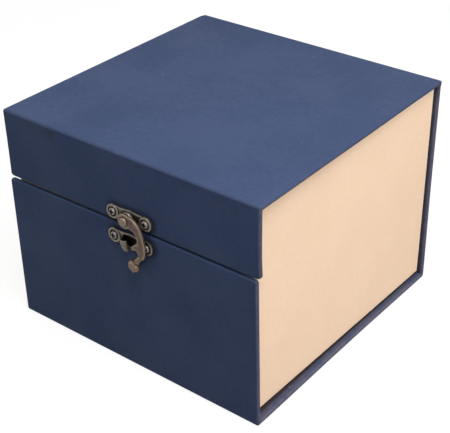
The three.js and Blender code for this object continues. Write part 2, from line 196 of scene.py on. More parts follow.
def thick_paper(name, bm, material):
    """A sheet of faces given the thickness of the paper, inwards."""
    bmesh.ops.remove_doubles(bm, verts=bm.verts, dist=SAME_PLACE)
    bmesh.ops.dissolve_degenerate(bm, edges=bm.edges, dist=NO_LENGTH)
    piece = new_piece(name, mesh_from(name, bm), material)
    thick = piece.modifiers.new("paper", "SOLIDIFY")
    thick.thickness = PAPER
    thick.offset = -1
    return soften(applied(piece))


def fading(distance, reach):
    """1 at no distance, falling smoothly to 0 at the reach."""
    t = max(0.0, 1 - distance / reach)
    return t * t * (3 - 2 * t)


def spread(low, high, step):
    count = max(1, round((high - low) / step))
    return [low + (high - low) * i / count for i in range(count + 1)]


def quarter(steps):
    return [i * math.pi / 2 / steps for i in range(steps + 1)]


# The case's outer line in the y, z plane: straights joined by quarter bends,
# from the top of the front panel round to the bottom of the flap.

def case_runs():
    corners = [
        (FRONT_Y, front_high.z),
        (FRONT_Y, 0),
        (BACK_Y, 0),
        (BACK_Y, TOP_Z),
        (FRONT_Y, TOP_Z),
        (FRONT_Y, flap_low.z),
    ]
    radii = [0, BASE_FOLD, BASE_FOLD, LID_FOLD, LID_FOLD, 0]
    runs = []
    travelled = 0.0
    for i in range(len(corners) - 1):
        a = Vector(corners[i])
        b = Vector(corners[i + 1])
        heading = (b - a).normalized()
        length = (b - a).length - radii[i] - radii[i + 1]
        start = a + heading * radii[i]
        runs.append(("straight", travelled, length, start, heading, radii[i], radii[i + 1]))
        travelled += length
        if radii[i + 1]:
            bend = radii[i + 1] * math.pi / 2
            runs.append(("bend", travelled, bend, b, heading, radii[i + 1], 0))
            travelled += bend
    return runs


RUNS = case_runs()
STRAIGHTS = [run for run in RUNS if run[0] == "straight"]
BENDS = [run for run in RUNS if run[0] == "bend"]
FOLD_CORNERS = [run[3] for run in BENDS]
FRONT_FOOT = BENDS[0][1]
BACK_FOOT = BENDS[1][1]
LID_BEND, LID_BEND_LENGTH = BENDS[2][1:3]
FLAP_BEND, FLAP_BEND_LENGTH = BENDS[3][1:3]
CASE_END = RUNS[-1][1] + RUNS[-1][2]


def case_point(s, depth):
    """The y, z of a point that lies s along the outer line and depth inside it."""
    run = next((r for r in RUNS if s <= r[1] + r[2] + ROUNDING), RUNS[-1])
    kind, start, length, place, heading, first, second = run
    inward = Vector((-heading.y, heading.x))
    if kind == "bend":
        radius = first
        if depth >= radius:
            return place + (inward - heading) * depth
        turn = (s - start) / radius
        centre = place + (inward - heading) * radius
        return centre + (heading * math.sin(turn) - inward * math.cos(turn)) * (radius - depth)
    low = max(depth - first, 0) if first else 0
    high = max(depth - second, 0) if second else 0
    along = min(max(s - start, low), length - high)
    return place + heading * along + inward * depth


def rows_between(low, high):
    """Rows along the outer line, close together in and beside its bends."""
    reach = BESIDE_FOLD
    rows = set()
    edges = [low, high]
    for _, start, length, *_rest in BENDS:
        if start + length < low or start > high:
            continue
        rows.update(spread(max(low, start - reach), start, FOLD_STEP))
        rows.update(spread(start, start + length, length / 8))
        rows.update(spread(start + length, min(high, start + length + reach), FOLD_STEP))
        edges += [max(low, start - reach), min(high, start + length + reach)]
    edges.sort()
    for a, b in zip(edges[::2], edges[1::2]):
        if b - a > ROW_GAP:
            rows.update(spread(a, b, MESH_STEP))
    ordered = sorted(rows)
    return [s for i, s in enumerate(ordered) if i == 0 or s - ordered[i - 1] > ROW_GAP]


# One stretch of the covering paper. Its plan is x across and s along the outer
# line, and its edges roll round the board and turn in behind it.

def edge_profile(inside):
    """Insets and depths from the outer face round an edge to the inner face."""
    arc = quarter(6)
    outer = [(EDGE_RADIUS * (1 - math.sin(a)), EDGE_RADIUS * (1 - math.cos(a))) for a in arc]
    inner = [(inset, PANEL - depth) for inset, depth in reversed(outer)]
    return [(CORNER_RADIUS, 0.0), *outer, *inner, (CORNER_RADIUS, PANEL), *inside]


def plan_chains(rows, columns, wrapped_low, wrapped_high):
    """Stations round the plan, anticlockwise: x, s and the way out of the edge."""
    x_low, x_high = columns[0], columns[-1]
    s_low, s_high = rows[0], rows[-1]

    def corner(x, s, start):
        return [(x, s, math.cos(start + a), math.sin(start + a)) for a in quarter(8)[1:-1]]

    left = [(x_low, s, -1, 0) for s in reversed(rows)]
    right = [(x_high, s, 1, 0) for s in rows]
    low = corner(x_low, s_low, math.pi) + [(x, s_low, 0, -1) for x in columns]
    low += corner(x_high, s_low, 1.5 * math.pi)
    high = corner(x_high, s_high, 0) + [(x, s_high, 0, 1) for x in reversed(columns)]
    high += corner(x_low, s_high, 0.5 * math.pi)
    if wrapped_low and wrapped_high:
        return [left + low + right + high + left[:1]]
    if wrapped_low:
        return [left + low + right]
    if wrapped_high:
        return [right + high + left]
    return [left, right]


def aged(x, s, inset, depth, place, dented, holds_tray):
    """How worn a point of the covering paper is, and how much painted shade it gets."""
    inside_reach = abs(x) < HALF_WIDTH - CORNER_RADIUS
    at_seam = inside_reach and min(s, CASE_END - s) < CORNER_RADIUS
    on_front = s < FRONT_FOOT or s > FLAP_BEND + FLAP_BEND_LENGTH
    edge_share = EDGE_WEAR
    if on_front and not inside_reach:
        edge_share = SIDE_EDGE_WEAR
    elif at_seam:
        edge_share = SEAM_WEAR
    edge = edge_share * fading(math.hypot(inset, depth), WEAR_REACH)
    fold = FOLD_WEAR * max(fading((place - corner).length, WEAR_REACH) for corner in FOLD_CORNERS)
    inner = 0 if at_seam else fading(math.hypot(inset, PANEL - depth), INNER_EDGE_REACH)
    behind = holds_tray and depth == PANEL
    ledge = LEDGE_WEAR if behind and FRONT_FOOT < s < BACK_FOOT else 0
    # Painted shade: the turn-in that holds the tray is browned beside the tray, in the shade of the gap.
    gap_shade = 0
    if behind and s > BACK_FOOT:
        gap_shade = fading(max(0, TRAY_INSET - inset), BACK_GAP_SHADE_REACH)
    elif behind:
        gap_shade = fading(max(0, TRAY_INSET + GAP_SHADE_SETBACK - inset), GAP_SHADE_REACH)
    # Painted shade on the inner side of the lid's and the flap's edges.
    inner_edge_shade = 0 if holds_tray else INNER_EDGE_SHADE * inner
    # The last share is the painted shade in the dents below the front fold.
    return max(edge, fold, inner, ledge), max(gap_shade, inner_edge_shade, min(1, DENT_SHADE * dented))


def covering(name, low, high, material, wrapped_low=False, wrapped_high=False, lined=False,
             sway=None, slip=None, holds_tray=False, dent=None):
    """A stretch of the covering paper from low to high along the outer line.

    Its wrapped ends turn in, and a lined stretch is papered inside as well. Sway
    sets a point aside, slip moves it along the line and dent presses it in. A
    stretch that holds the tray gets a brown painted shade beside the tray.
    """
    s_low = low + CORNER_RADIUS if wrapped_low else low
    s_high = high - CORNER_RADIUS if wrapped_high else high
    rows = rows_between(s_low, s_high)
    reach = HALF_WIDTH - CORNER_RADIUS
    columns = spread(-reach, reach, DENT_STEP if dent else MESH_STEP)
    behind_edge = [(TRAY_INSET - GAP_SHADE_REACH / 2, PANEL), (TRAY_INSET, PANEL)]
    behind_edge += [(TRAY_INSET + GAP_SHADE_SETBACK, PANEL), (TURN_IN, PANEL)]
    profile = edge_profile([] if lined else behind_edge)
    bm = bmesh.new()
    rest = bm.verts.layers.float_vector.new("rest")
    wear = bm.verts.layers.float.new("wear")
    painted_shade = bm.verts.layers.float.new("painted_shade")

    def vert(x, s, inset, depth):
        dented = dent(x, s) if dent else 0
        along = s + slip(x, s) if slip else s
        place = case_point(along, depth if depth else dented * DENT_DEPTH)
        shift = sway(x, s) if sway else 0
        v = bm.verts.new((x + shift, place.x, place.y))
        v[rest] = v.co
        v[wear], v[painted_shade] = aged(x, s, inset, depth, place, dented, holds_tray)
        return v

    def at_station(station, inset, depth):
        x, s, out_x, out_s = station
        if inset <= CORNER_RADIUS:
            out = CORNER_RADIUS - inset
            return vert(x + out_x * out, s + out_s * out, inset, depth)
        more = inset - CORNER_RADIUS
        x = min(max(x, -reach + more), reach - more)
        s = max(s, s_low + more) if wrapped_low else s
        s = min(s, s_high - more) if wrapped_high else s
        return vert(x, s, inset, depth)

    def strip(near, far):
        for k in range(len(near) - 1):
            bm.faces.new((near[k], near[k + 1], far[k + 1], far[k]))

    for chain in plan_chains(rows, columns, wrapped_low, wrapped_high):
        rings = [[at_station(station, *step) for station in chain] for step in profile]
        for near, far in zip(rings, rings[1:]):
            strip(near, far)
    for depth in ([0.0, PANEL] if lined else [0.0]):
        grid = [[vert(x, s, CORNER_RADIUS, depth) for s in rows] for x in columns]
        for i in range(len(columns) - 1):
            if depth:
                strip(grid[i + 1], grid[i])
            else:
                strip(grid[i], grid[i + 1])
    return thick_paper(name, bm, material)


# Shader building.

def feed(tree, socket, value):
    """Sets an input to a value, or links it where the value is a socket."""
    if isinstance(value, bpy.types.NodeSocket):
        tree.links.new(value, socket)
    else:
        socket.default_value = value


def put(tree, kind, inputs=None, **settings):
    """Adds a node and feeds its inputs."""
    made = tree.nodes.new(kind)
    for key, value in settings.items():
        setattr(made, key, value)
    for key, value in (inputs or {}).items():
        feed(tree, made.inputs[key], value)
    return made


def mixed(tree, share, a, b):
    node = put(tree, "ShaderNodeMix", data_type="RGBA")
    for index, value in ((0, share), (6, a), (7, b)):
        feed(tree, node.inputs[index], value)
    return node.outputs[2]


def sums(tree, operation, a, b=0.0, clamp=False):
    node = put(tree, "ShaderNodeMath", operation=operation, use_clamp=clamp)
    for index, value in ((0, a), (1, b)):
        feed(tree, node.inputs[index], value)
    return node.outputs[0]


def ranged(tree, value, low, high, to_low=0.0, to_high=1.0):
    node = put(tree, "ShaderNodeMapRange", {
        "Value": value, "From Min": low, "From Max": high, "To Min": to_low, "To Max": to_high,
    }, interpolation_type="SMOOTHSTEP")
    return node.outputs["Result"]


def noise_at(tree, place, size, detail=2.0, rough=0.5, distortion=0.0):
    """Noise whose features are about size across."""
    node = put(tree, "ShaderNodeTexNoise", {
        "Vector": place, "Scale": 1 / size, "Detail": detail,
        "Roughness": rough, "Distortion": distortion,
    })
    return node.outputs["Fac"]


def group_tree(name, inputs, outputs):
    tree = bpy.data.node_groups.new(name, "ShaderNodeTree")
    for key, kind, value in inputs:
        socket = tree.interface.new_socket(name=key, in_out="INPUT", socket_type=kind)
        if value is not None:
            socket.default_value = value
    for key, kind in outputs:
        tree.interface.new_socket(name=key, in_out="OUTPUT", socket_type=kind)
    source = tree.nodes.new("NodeGroupInput")
    sink = tree.nodes.new("NodeGroupOutput")
    return tree, source, sink


def paper_tooth_group():
    """The tooth of an uncoated covering paper: pressed grain, fibres and a soft cloudiness."""
    tree, source, sink = group_tree(
        "paper_tooth",
        [("Place", "NodeSocketVector", None), ("Grain", "NodeSocketFloat", 0.0006)],
        [("Height", "NodeSocketFloat"), ("Cloud", "NodeSocketFloat"), ("Fibre", "NodeSocketFloat")],
    )
    place = source.outputs["Place"]
    scale = sums(tree, "DIVIDE", 1.0, source.outputs["Grain"])
    pebble = put(tree, "ShaderNodeTexVoronoi", {
        "Vector": place, "Scale": scale, "Randomness": 1.0,
    }, feature="SMOOTH_F1")
    grit = put(tree, "ShaderNodeTexNoise", {
        "Vector": place, "Scale": scale, "Detail": 4.0, "Roughness": 0.65,
    })
    stretched = put(tree, "ShaderNodeMapping", {
        "Vector": place, "Rotation": (0.3, 0.5, 0.6), "Scale": (1, 0.16, 0.3),
    })
    fibre = noise_at(tree, stretched.outputs["Vector"], 0.5 * MM, 3.0, 0.6, 1.4)
    crossed = put(tree, "ShaderNodeMapping", {
        "Vector": place, "Rotation": (0.9, -0.4, -0.8), "Scale": (0.3, 1, 0.16),
    })
    fibre_two = noise_at(tree, crossed.outputs["Vector"], 0.5 * MM, 3.0, 0.6, 1.4)
    fibres = sums(tree, "MAXIMUM", fibre, fibre_two)
    height = sums(tree, "ADD", pebble.outputs["Distance"], grit.outputs["Fac"])
    height = sums(tree, "ADD", height, sums(tree, "MULTIPLY", fibres, 0.6))
    broad = noise_at(tree, place, 38 * MM, 3.0, 0.55)
    local = noise_at(tree, place, 2.6 * MM, 3.0, 0.6)
    cloud = sums(tree, "ADD", sums(tree, "MULTIPLY", broad, 0.6), sums(tree, "MULTIPLY", local, 0.4))
    tree.links.new(height, sink.inputs["Height"])
    tree.links.new(ranged(tree, cloud, 0.36, 0.64), sink.inputs["Cloud"])
    tree.links.new(ranged(tree, fibres, 0.56, 0.78), sink.inputs["Fibre"])
    return tree


def rubbed_group():
    """Where a handled edge is rubbed: the wear, broken up by noise."""
    tree, source, sink = group_tree(
        "rubbed",
        [("Place", "NodeSocketVector", None), ("Wear", "NodeSocketFloat", 0.0),
         ("Patch", "NodeSocketFloat", 0.003)],
        [("Mask", "NodeSocketFloat")],
    )
    scale = sums(tree, "DIVIDE", 1.0, source.outputs["Patch"])
    patches = put(tree, "ShaderNodeTexNoise", {
        "Vector": source.outputs["Place"], "Scale": scale, "Detail": 4.0, "Roughness": 0.65,
    })
    lifted = sums(tree, "MULTIPLY", patches.outputs["Fac"], 1.3)
    amount = sums(tree, "MULTIPLY", source.outputs["Wear"], lifted)
    tree.links.new(ranged(tree, amount, 0.12, 0.75), sink.inputs["Mask"])
    return tree


def flecks_group():
    """Sparse pale specks of lint and dust, each in its own cell."""
    tree, source, sink = group_tree(
        "flecks",
        [("Place", "NodeSocketVector", None), ("Apart", "NodeSocketFloat", 0.006)],
        [("Mask", "NodeSocketFloat")],
    )
    scale = sums(tree, "DIVIDE", 1.0, source.outputs["Apart"])
    cells = put(tree, "ShaderNodeTexVoronoi", {
        "Vector": source.outputs["Place"], "Scale": scale, "Randomness": 1.0,
    })
    parts = put(tree, "ShaderNodeSeparateColor", {"Color": cells.outputs["Color"]})
    size = sums(tree, "MULTIPLY", parts.outputs["Red"], 0.055)
    near = ranged(tree, sums(tree, "SUBTRACT", size, cells.outputs["Distance"]), 0.0, 0.02)
    chosen = ranged(tree, parts.outputs["Green"], 0.6, 0.75)
    tree.links.new(sums(tree, "MULTIPLY", near, chosen), sink.inputs["Mask"])
    return tree


def speckled_shade_group():
    """Where painted shade browns the surface: its share, speckled by noise."""
    tree, source, sink = group_tree(
        "speckled_shade",
        [("Place", "NodeSocketVector", None), ("Painted Shade", "NodeSocketFloat", 0.0),
         ("Speck", "NodeSocketFloat", 0.0012)],
        [("Mask", "NodeSocketFloat")],
    )
    scale = sums(tree, "DIVIDE", 1.0, source.outputs["Speck"])
    specks = put(tree, "ShaderNodeTexNoise", {
        "Vector": source.outputs["Place"], "Scale": scale, "Detail": 3.0, "Roughness": 0.6,
    })
    uneven = ranged(tree, specks.outputs["Fac"], 0.3, 0.6, 0.6, 1.0)
    tree.links.new(sums(tree, "MULTIPLY", source.outputs["Painted Shade"], uneven), sink.inputs["Mask"])
    return tree


def patina_group():
    """How plated metal ages: blotches, bright high places and dark recesses."""
    tree, source, sink = group_tree(
        "patina",
        [("Place", "NodeSocketVector", None), ("Wear", "NodeSocketFloat", 0.5),
         ("Blotch", "NodeSocketFloat", 0.0022)],
        [("Height", "NodeSocketFloat"), ("Patina", "NodeSocketFloat"), ("Rubbed", "NodeSocketFloat"),
         ("Sunk", "NodeSocketFloat")],
    )
    place = source.outputs["Place"]
    wear = source.outputs["Wear"]
    scale = sums(tree, "DIVIDE", 1.0, source.outputs["Blotch"])
    blotch = put(tree, "ShaderNodeTexNoise", {
        "Vector": place, "Scale": scale, "Detail": 4.0, "Roughness": 0.65,
    })
    fine = noise_at(tree, place, 0.45 * MM, 3.0, 0.6)
    height = sums(tree, "MULTIPLY", blotch.outputs["Fac"], 0.7)
    height = sums(tree, "ADD", height, sums(tree, "MULTIPLY", fine, 0.5))
    raised = ranged(tree, wear, 0.42, 0.66)
    rubbed = sums(tree, "MULTIPLY", raised, ranged(tree, fine, 0.3, 0.6, 0.45, 1.0))
    tree.links.new(height, sink.inputs["Height"])
    tree.links.new(ranged(tree, blotch.outputs["Fac"], 0.38, 0.62), sink.inputs["Patina"])
    tree.links.new(rubbed, sink.inputs["Rubbed"])
    tree.links.new(ranged(tree, wear, 0.46, 0.3), sink.inputs["Sunk"])
    return tree


PAPER_TOOTH = paper_tooth_group()
SPECKLED_SHADE = speckled_shade_group()
PATINA = patina_group()
RUBBED = rubbed_group()
FLECKS = flecks_group()


def new_material(name):
    material = bpy.data.materials.new(name)
    material.use_nodes = True
    tree = material.node_tree
    return material, tree, tree.nodes["Principled BSDF"]


def grouped(tree, group, inputs):
    node = tree.nodes.new("ShaderNodeGroup")
    node.node_tree = group
    for key, value in inputs.items():
        feed(tree, node.inputs[key], value)
    return node


def place_on(tree, bends):
    """Where a point lies at rest. Paper that bends carries it as an attribute."""
    if bends:
        return put(tree, "ShaderNodeAttribute", attribute_name="rest").outputs["Vector"]
    return put(tree, "ShaderNodeTexCoord").outputs["Object"]


def wear_on(tree):
    return put(tree, "ShaderNodeAttribute", attribute_name="wear").outputs["Fac"]


# A painted shadow round the two latch plates on the front: its colour, share and reach.
LATCH_SHADOW_DARK = (0.008, 0.008, 0.011, 1)
LATCH_SHADOW_SHARE = 0.66
HALO_INNER = 3.6 * MM
HALO_OUTER = 7.2 * MM
HALO_SHIFT = Vector((0.8, 0, 0.2)) * MM
HALO_NEAREST = 10 * MM
HALO_FARTHEST = 20 * MM


def latch_painted_shadow(tree, place):
    """How near a point of the front lies to one of the two latch plates: 1 beneath it, 0 well away. It masks
    the painted shadow round the latch.
    """
    near = None
    for plate in ("hook_plate", "catch_plate"):
        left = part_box(f"{plate}_screw_left")
        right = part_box(f"{plate}_screw_right")
        middle = (left[0] + right[1]) / 2 + HALO_SHIFT
        half = (right[0].x - left[0].x) / 2
        offset = put(tree, "ShaderNodeVectorMath", {0: place, 1: middle}, operation="SUBTRACT")
        parts = put(tree, "ShaderNodeSeparateXYZ", {"Vector": offset.outputs["Vector"]})
        outside = sums(tree, "SUBTRACT", sums(tree, "ABSOLUTE", parts.outputs["X"]), half)
        outside = sums(tree, "MAXIMUM", outside, 0.0)
        flat = put(tree, "ShaderNodeCombineXYZ", {"X": outside, "Y": 0.0, "Z": parts.outputs["Z"]})
        reach = put(tree, "ShaderNodeVectorMath", {0: flat.outputs["Vector"]}, operation="LENGTH")
        front = ranged(tree, parts.outputs["Y"], HALO_FARTHEST, HALO_NEAREST)
        beside = ranged(tree, reach.outputs["Value"], HALO_OUTER, HALO_INNER)
        painted_shadow = sums(tree, "MULTIPLY", beside, front)
        near = painted_shadow if near is None else sums(tree, "MAXIMUM", near, painted_shadow)
    return near


# The brown of the painted shade: beside the tray, on inner edges and in dents.
PAINTED_SHADE_BROWN = (0.045, 0.032, 0.029, 1)
BLUE = [(0.0355, 0.0556, 0.1195, 1), (0.0403, 0.0613, 0.1295, 1), (0.112, 0.100, 0.122, 1)]
TAN = [(0.835, 0.605, 0.432, 1), (0.855, 0.624, 0.448, 1), (0.97, 0.92, 0.86, 1)]
LINT = (0.35, 0.4, 0.5, 1)
TAN_FLECK = (0.62, 0.42, 0.28, 1)
FIBRE_SHARE = 0.2
PAPER_RELIEF = 0.08 * MM


def paper(name, colours, grain, bump, fleck_colour, fleck_share, bends=False, worn_share=0.85,
          painted_shadow_round_latch=False):
    """Covering paper in a dark, a mid and a worn colour, with a brown painted shade laid on by a vertex
    attribute and, if asked, a painted shadow round the latch.
    """
    dark, mid, worn = colours
    material, tree, shader = new_material(name)
    place = place_on(tree, bends)
    tooth = grouped(tree, PAPER_TOOTH, {"Place": place, "Grain": grain})
    rubbed = grouped(tree, RUBBED, {"Place": place, "Wear": wear_on(tree), "Patch": 4 * MM})
    flecks = grouped(tree, FLECKS, {"Place": place, "Apart": 7 * MM})
    colour = mixed(tree, tooth.outputs["Cloud"], dark, mid)
    fibre = sums(tree, "MULTIPLY", tooth.outputs["Fibre"], FIBRE_SHARE)
    colour = mixed(tree, fibre, colour, worn)
    colour = mixed(tree, sums(tree, "MULTIPLY", rubbed.outputs["Mask"], worn_share), colour, worn)
    # Painted shade, browned and speckled, as the vertex attribute gives it.
    painted_shade = put(tree, "ShaderNodeAttribute", attribute_name="painted_shade").outputs["Fac"]
    speckled_shade = grouped(tree, SPECKLED_SHADE, {"Place": place, "Painted Shade": painted_shade, "Speck": 1.2 * MM})
    colour = mixed(tree, speckled_shade.outputs["Mask"], colour, PAINTED_SHADE_BROWN)
    fleck = sums(tree, "MULTIPLY", flecks.outputs["Mask"], fleck_share)
    colour = mixed(tree, fleck, colour, fleck_colour)
    # Painted shadow: the paper is darkened round the latch plates.
    if painted_shadow_round_latch:
        painted_shadow = sums(tree, "MULTIPLY", latch_painted_shadow(tree, place), LATCH_SHADOW_SHARE)
        colour = mixed(tree, painted_shadow, colour, LATCH_SHADOW_DARK)
    tree.links.new(colour, shader.inputs["Base Color"])
    tree.links.new(ranged(tree, tooth.outputs["Cloud"], 0.0, 1.0, 0.7, 0.58), shader.inputs["Roughness"])
    relief = put(tree, "ShaderNodeBump", {
        "Strength": bump, "Distance": PAPER_RELIEF, "Height": tooth.outputs["Height"],
    })
    tree.links.new(relief.outputs["Normal"], shader.inputs["Normal"])
    shader.inputs["Specular IOR Level"].default_value = 0.1
    return material


cover_paper = paper("cover_paper", BLUE, 0.55 * MM, 0.5, LINT, 0.5, painted_shadow_round_latch=True)
fold_paper = paper("cover_paper_at_folds", BLUE, 0.55 * MM, 0.5, LINT, 0.5, bends=True)
tray_paper = paper("tray_paper", TAN, 0.4 * MM, 0.25, TAN_FLECK, 0.12, worn_share=0.75)


BOARD_DARK = (0.21, 0.195, 0.17, 1)
BOARD_PALE = (0.33, 0.31, 0.275, 1)
BOARD_FIBRE = (0.1, 0.09, 0.08, 1)


def grey_board():
    material, tree, shader = new_material("greyboard")
    place = place_on(tree, False)
    tooth = grouped(tree, PAPER_TOOTH, {"Place": place, "Grain": 0.9 * MM})
    colour = mixed(tree, tooth.outputs["Cloud"], BOARD_DARK, BOARD_PALE)
    colour = mixed(tree, sums(tree, "MULTIPLY", tooth.outputs["Fibre"], 0.35), colour, BOARD_FIBRE)
    tree.links.new(colour, shader.inputs["Base Color"])
    relief = put(tree, "ShaderNodeBump", {
        "Strength": 0.6, "Distance": 0.1 * MM, "Height": tooth.outputs["Height"],
    })
    tree.links.new(relief.outputs["Normal"], shader.inputs["Normal"])
    shader.inputs["Roughness"].default_value = 0.92
    return material


FOAM_CELL = 0.9 * MM
FOAM_PORE = 2.6 * MM
FOAM_DARK = (0.67, 0.655, 0.615, 1)
FOAM_PALE = (0.71, 0.70, 0.665, 1)
# Darker colours for painted shade in the cells' hollows and in the pits.
FOAM_HOLLOW_SHADE = (0.52, 0.50, 0.45, 1)
FOAM_PIT_SHADE = (0.40, 0.375, 0.335, 1)


def sponge_foam():
    """Open-cell foam: pits between thin cell walls, with painted shade in the pits and in the cells'
    hollows.
    """
    material, tree, shader = new_material("sponge_foam")
    place = place_on(tree, False)
    cells = put(tree, "ShaderNodeTexVoronoi", {
        "Vector": place, "Scale": 1 / FOAM_CELL,
    }, feature="DISTANCE_TO_EDGE")
    pores = put(tree, "ShaderNodeTexVoronoi", {"Vector": place, "Scale": 1 / FOAM_PORE})
    pit = ranged(tree, pores.outputs["Distance"], 0.12, 0.3)
    wall = ranged(tree, cells.outputs["Distance"], 0.02, 0.22)
    height = sums(tree, "SUBTRACT", pit, sums(tree, "MULTIPLY", wall, 0.5))
    cloud = noise_at(tree, place, 22 * MM, 3.0, 0.6)
    cloud = ranged(tree, cloud, 0.3, 0.7)
    colour = mixed(tree, cloud, FOAM_DARK, FOAM_PALE)
    # Painted shade: the hollows of the cells and the pits are darker.
    shade = sums(tree, "MULTIPLY", wall, 0.16)
    colour = mixed(tree, shade, colour, FOAM_HOLLOW_SHADE)
    pit_shade = sums(tree, "SUBTRACT", 1.0, pit)
    colour = mixed(tree, sums(tree, "MULTIPLY", pit_shade, 0.3), colour, FOAM_PIT_SHADE)
    tree.links.new(colour, shader.inputs["Base Color"])
    relief = put(tree, "ShaderNodeBump", {"Strength": 0.7, "Distance": 0.35 * MM, "Height": height})
    tree.links.new(relief.outputs["Normal"], shader.inputs["Normal"])
    shader.inputs["Roughness"].default_value = 0.95
    shader.inputs["Specular IOR Level"].default_value = 0.2
    return material


def antique_metal(name, dark, pale, bright, pit):
    """Plated metal, darkened in its recesses and rubbed bright on its high places."""
    material, tree, shader = new_material(name)
    place = place_on(tree, False)
    plated = grouped(tree, PATINA, {"Place": place, "Wear": wear_on(tree), "Blotch": 2.2 * MM})
    colour = mixed(tree, plated.outputs["Patina"], dark, pale)
    colour = mixed(tree, plated.outputs["Rubbed"], colour, bright)
    colour = mixed(tree, plated.outputs["Sunk"], colour, pit)
    tree.links.new(colour, shader.inputs["Base Color"])
    roughness = ranged(tree, plated.outputs["Patina"], 0.0, 1.0, 0.52, 0.38)
    tree.links.new(roughness, shader.inputs["Roughness"])
    relief = put(tree, "ShaderNodeBump", {
        "Strength": 0.35, "Distance": 0.12 * MM, "Height": plated.outputs["Height"],
    })
    tree.links.new(relief.outputs["Normal"], shader.inputs["Normal"])
    shader.inputs["Metallic"].default_value = 0.85
    return material


greyboard = grey_board()
foam = sponge_foam()
hook_bronze = antique_metal(
    "hook_bronze",
    dark=(0.031, 0.021, 0.016, 1),
    pale=(0.088, 0.064, 0.050, 1),
    bright=(0.235, 0.172, 0.125, 1),
    pit=(0.010, 0.008, 0.006, 1),
)
plate_bronze = antique_metal(
    "plate_bronze",
    dark=(0.019, 0.016, 0.014, 1),
    pale=(0.066, 0.059, 0.052, 1),
    bright=(0.205, 0.175, 0.14, 1),
    pit=(0.009, 0.008, 0.006, 1),
)
screw_bronze = antique_metal(
    "screw_bronze",
    dark=(0.095, 0.080, 0.080, 1),
    pale=(0.15, 0.132, 0.132, 1),
    bright=(0.225, 0.197, 0.19, 1),
    pit=(0.005, 0.004, 0.004, 1),
)


# The five stretches of the covering paper.

FOLD_LOW = LID_BEND - FOLD_LEG
FOLD_HIGH = LID_BEND + LID_BEND_LENGTH + FOLD_LEG
FLAP_FOLD_LOW = FLAP_BEND - FOLD_LEG
FLAP_FOLD_HIGH = FLAP_BEND + FLAP_BEND_LENGTH + FOLD_LEG


def case_sway(x, s):
    """The front panel leans left towards its top, and the case's right edge strays at its foot."""
    rise = max(0, 1 - s / STRAIGHTS[0][2])
    rightness = 0.5 + x / HALF_WIDTH / 2
    lean = rise * (FRONT_TOP_LEFT_STRAY + (FRONT_TOP_RIGHT_STRAY - FRONT_TOP_LEFT_STRAY) * rightness)
    right = max(0, x) / HALF_WIDTH
    at_front = FRONT_LOW_RIGHT_STRAY * fading(max(0, s - FRONT_FOOT), LOW_STRAY_REACH)
    at_back = BACK_LOW_RIGHT_STRAY * fading(abs(s - BACK_FOOT), LOW_STRAY_REACH)
    return lean + right * (at_front + at_back)


def fold_dent(x, s):
    """How deep the paper is dented in a few places just below the front fold."""
    below = fading(abs(s - FLAP_BEND - FLAP_BEND_LENGTH - DENT_BELOW), DENT_REACH)
    patch = noise.noise(Vector((x / DENT_SIZE, s / DENT_SIZE * 2, DENT_PATTERN))) - DENT_FROM
    return below * max(0, patch) * (LEFT_DENTS if x < DENT_LEFT_OF else OTHER_DENTS)


def case_slip(x, s):
    """The front panel's top edge lies a little lower on its left."""
    leftness = min(1, max(0, -x / HALF_WIDTH))
    return FRONT_TOP_LEFT_DROP * leftness * fading(s, DROP_REACH)


def lid_sway(x, s):
    """The lid's right edge runs out towards the front, and its back corners stray to the right."""
    forward = (s - FOLD_LOW) / (FLAP_BEND - FOLD_LOW)
    at_fold = fading(abs(s - LID_BEND - LID_BEND_LENGTH / 2), BACK_CORNER_REACH)
    at_end = at_fold * (abs(x) / HALF_WIDTH) ** AT_EDGE_ONLY
    corner = BACK_LEFT_CORNER_STRAY if x < 0 else BACK_RIGHT_CORNER_STRAY
    return LID_FRONT_STRAY * min(1, max(0, forward)) * max(0, x) / HALF_WIDTH + corner * at_end


def flap_sway(x, s):
    """The flap hangs a little to the right, and its right-hand turn-in flares at the bottom."""
    fallen = min(1, max(0, (s - FLAP_BEND) / (CASE_END - FLAP_BEND)))
    flare = FLAP_FLARE * fading(abs(CASE_END - FLARE_ABOVE_FOOT - s), FLARE_HEIGHT)
    flare *= (max(0, x) / HALF_WIDTH) ** AT_EDGE_ONLY
    return lid_sway(x, s) * (1 - fallen) + FLAP_SHIFT * min(1, fallen * FLAP_SHIFT_RATE) + flare


case_cover = covering("case_cover", 0, FOLD_LOW, cover_paper, wrapped_low=True,
                      sway=case_sway, slip=case_slip, holds_tray=True)
lid_fold = covering("lid_fold", FOLD_LOW, FOLD_HIGH, fold_paper, lined=True, sway=lid_sway)
lid_cover = covering("lid_cover", FOLD_HIGH, FLAP_FOLD_LOW, cover_paper, sway=lid_sway)
flap_fold = covering("flap_fold", FLAP_FOLD_LOW, FLAP_FOLD_HIGH, fold_paper, lined=True, sway=flap_sway,
                     dent=fold_dent)
flap_cover = covering("flap_cover", FLAP_FOLD_HIGH, CASE_END, cover_paper, wrapped_high=True,
                      sway=flap_sway)

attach(case_cover, "root")
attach(lid_cover, "lid")
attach(flap_cover, "flap")
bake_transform(lid_fold)
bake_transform(flap_fold)
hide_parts("front_cover_paper", "base_cover_paper", "back_cover_paper")
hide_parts("lid_hinge_paper")
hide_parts("lid_cover_paper")
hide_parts("flap_hinge_paper")
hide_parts("flap_cover_paper")


# The tray's wrap: up its outside, over the rim and down behind it, and under it.

TRAY_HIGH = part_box("tray_wrap_paper")[1]


def racked(co):
    """A place in the tray, whose right wall stands in at the front and out at the back."""
    back = 0.5 + co.y / TRAY_HIGH.y / 2
    stray = TRAY_FRONT_STRAY + (TRAY_BACK_STRAY - TRAY_FRONT_STRAY) * back
    return Vector((co.x + stray * max(0, co.x) / TRAY_HIGH.x, co.y, co.z))


TRAY_RADIUS = 1.3 * MM
TRAY_RIM = 0.9 * MM
TRAY_FOOT = 1.5 * MM
TRAY_TURN_IN = 14 * MM
TRAY_STEP = 9 * MM


def limited(value, limit):
    return min(max(value, -limit), limit)


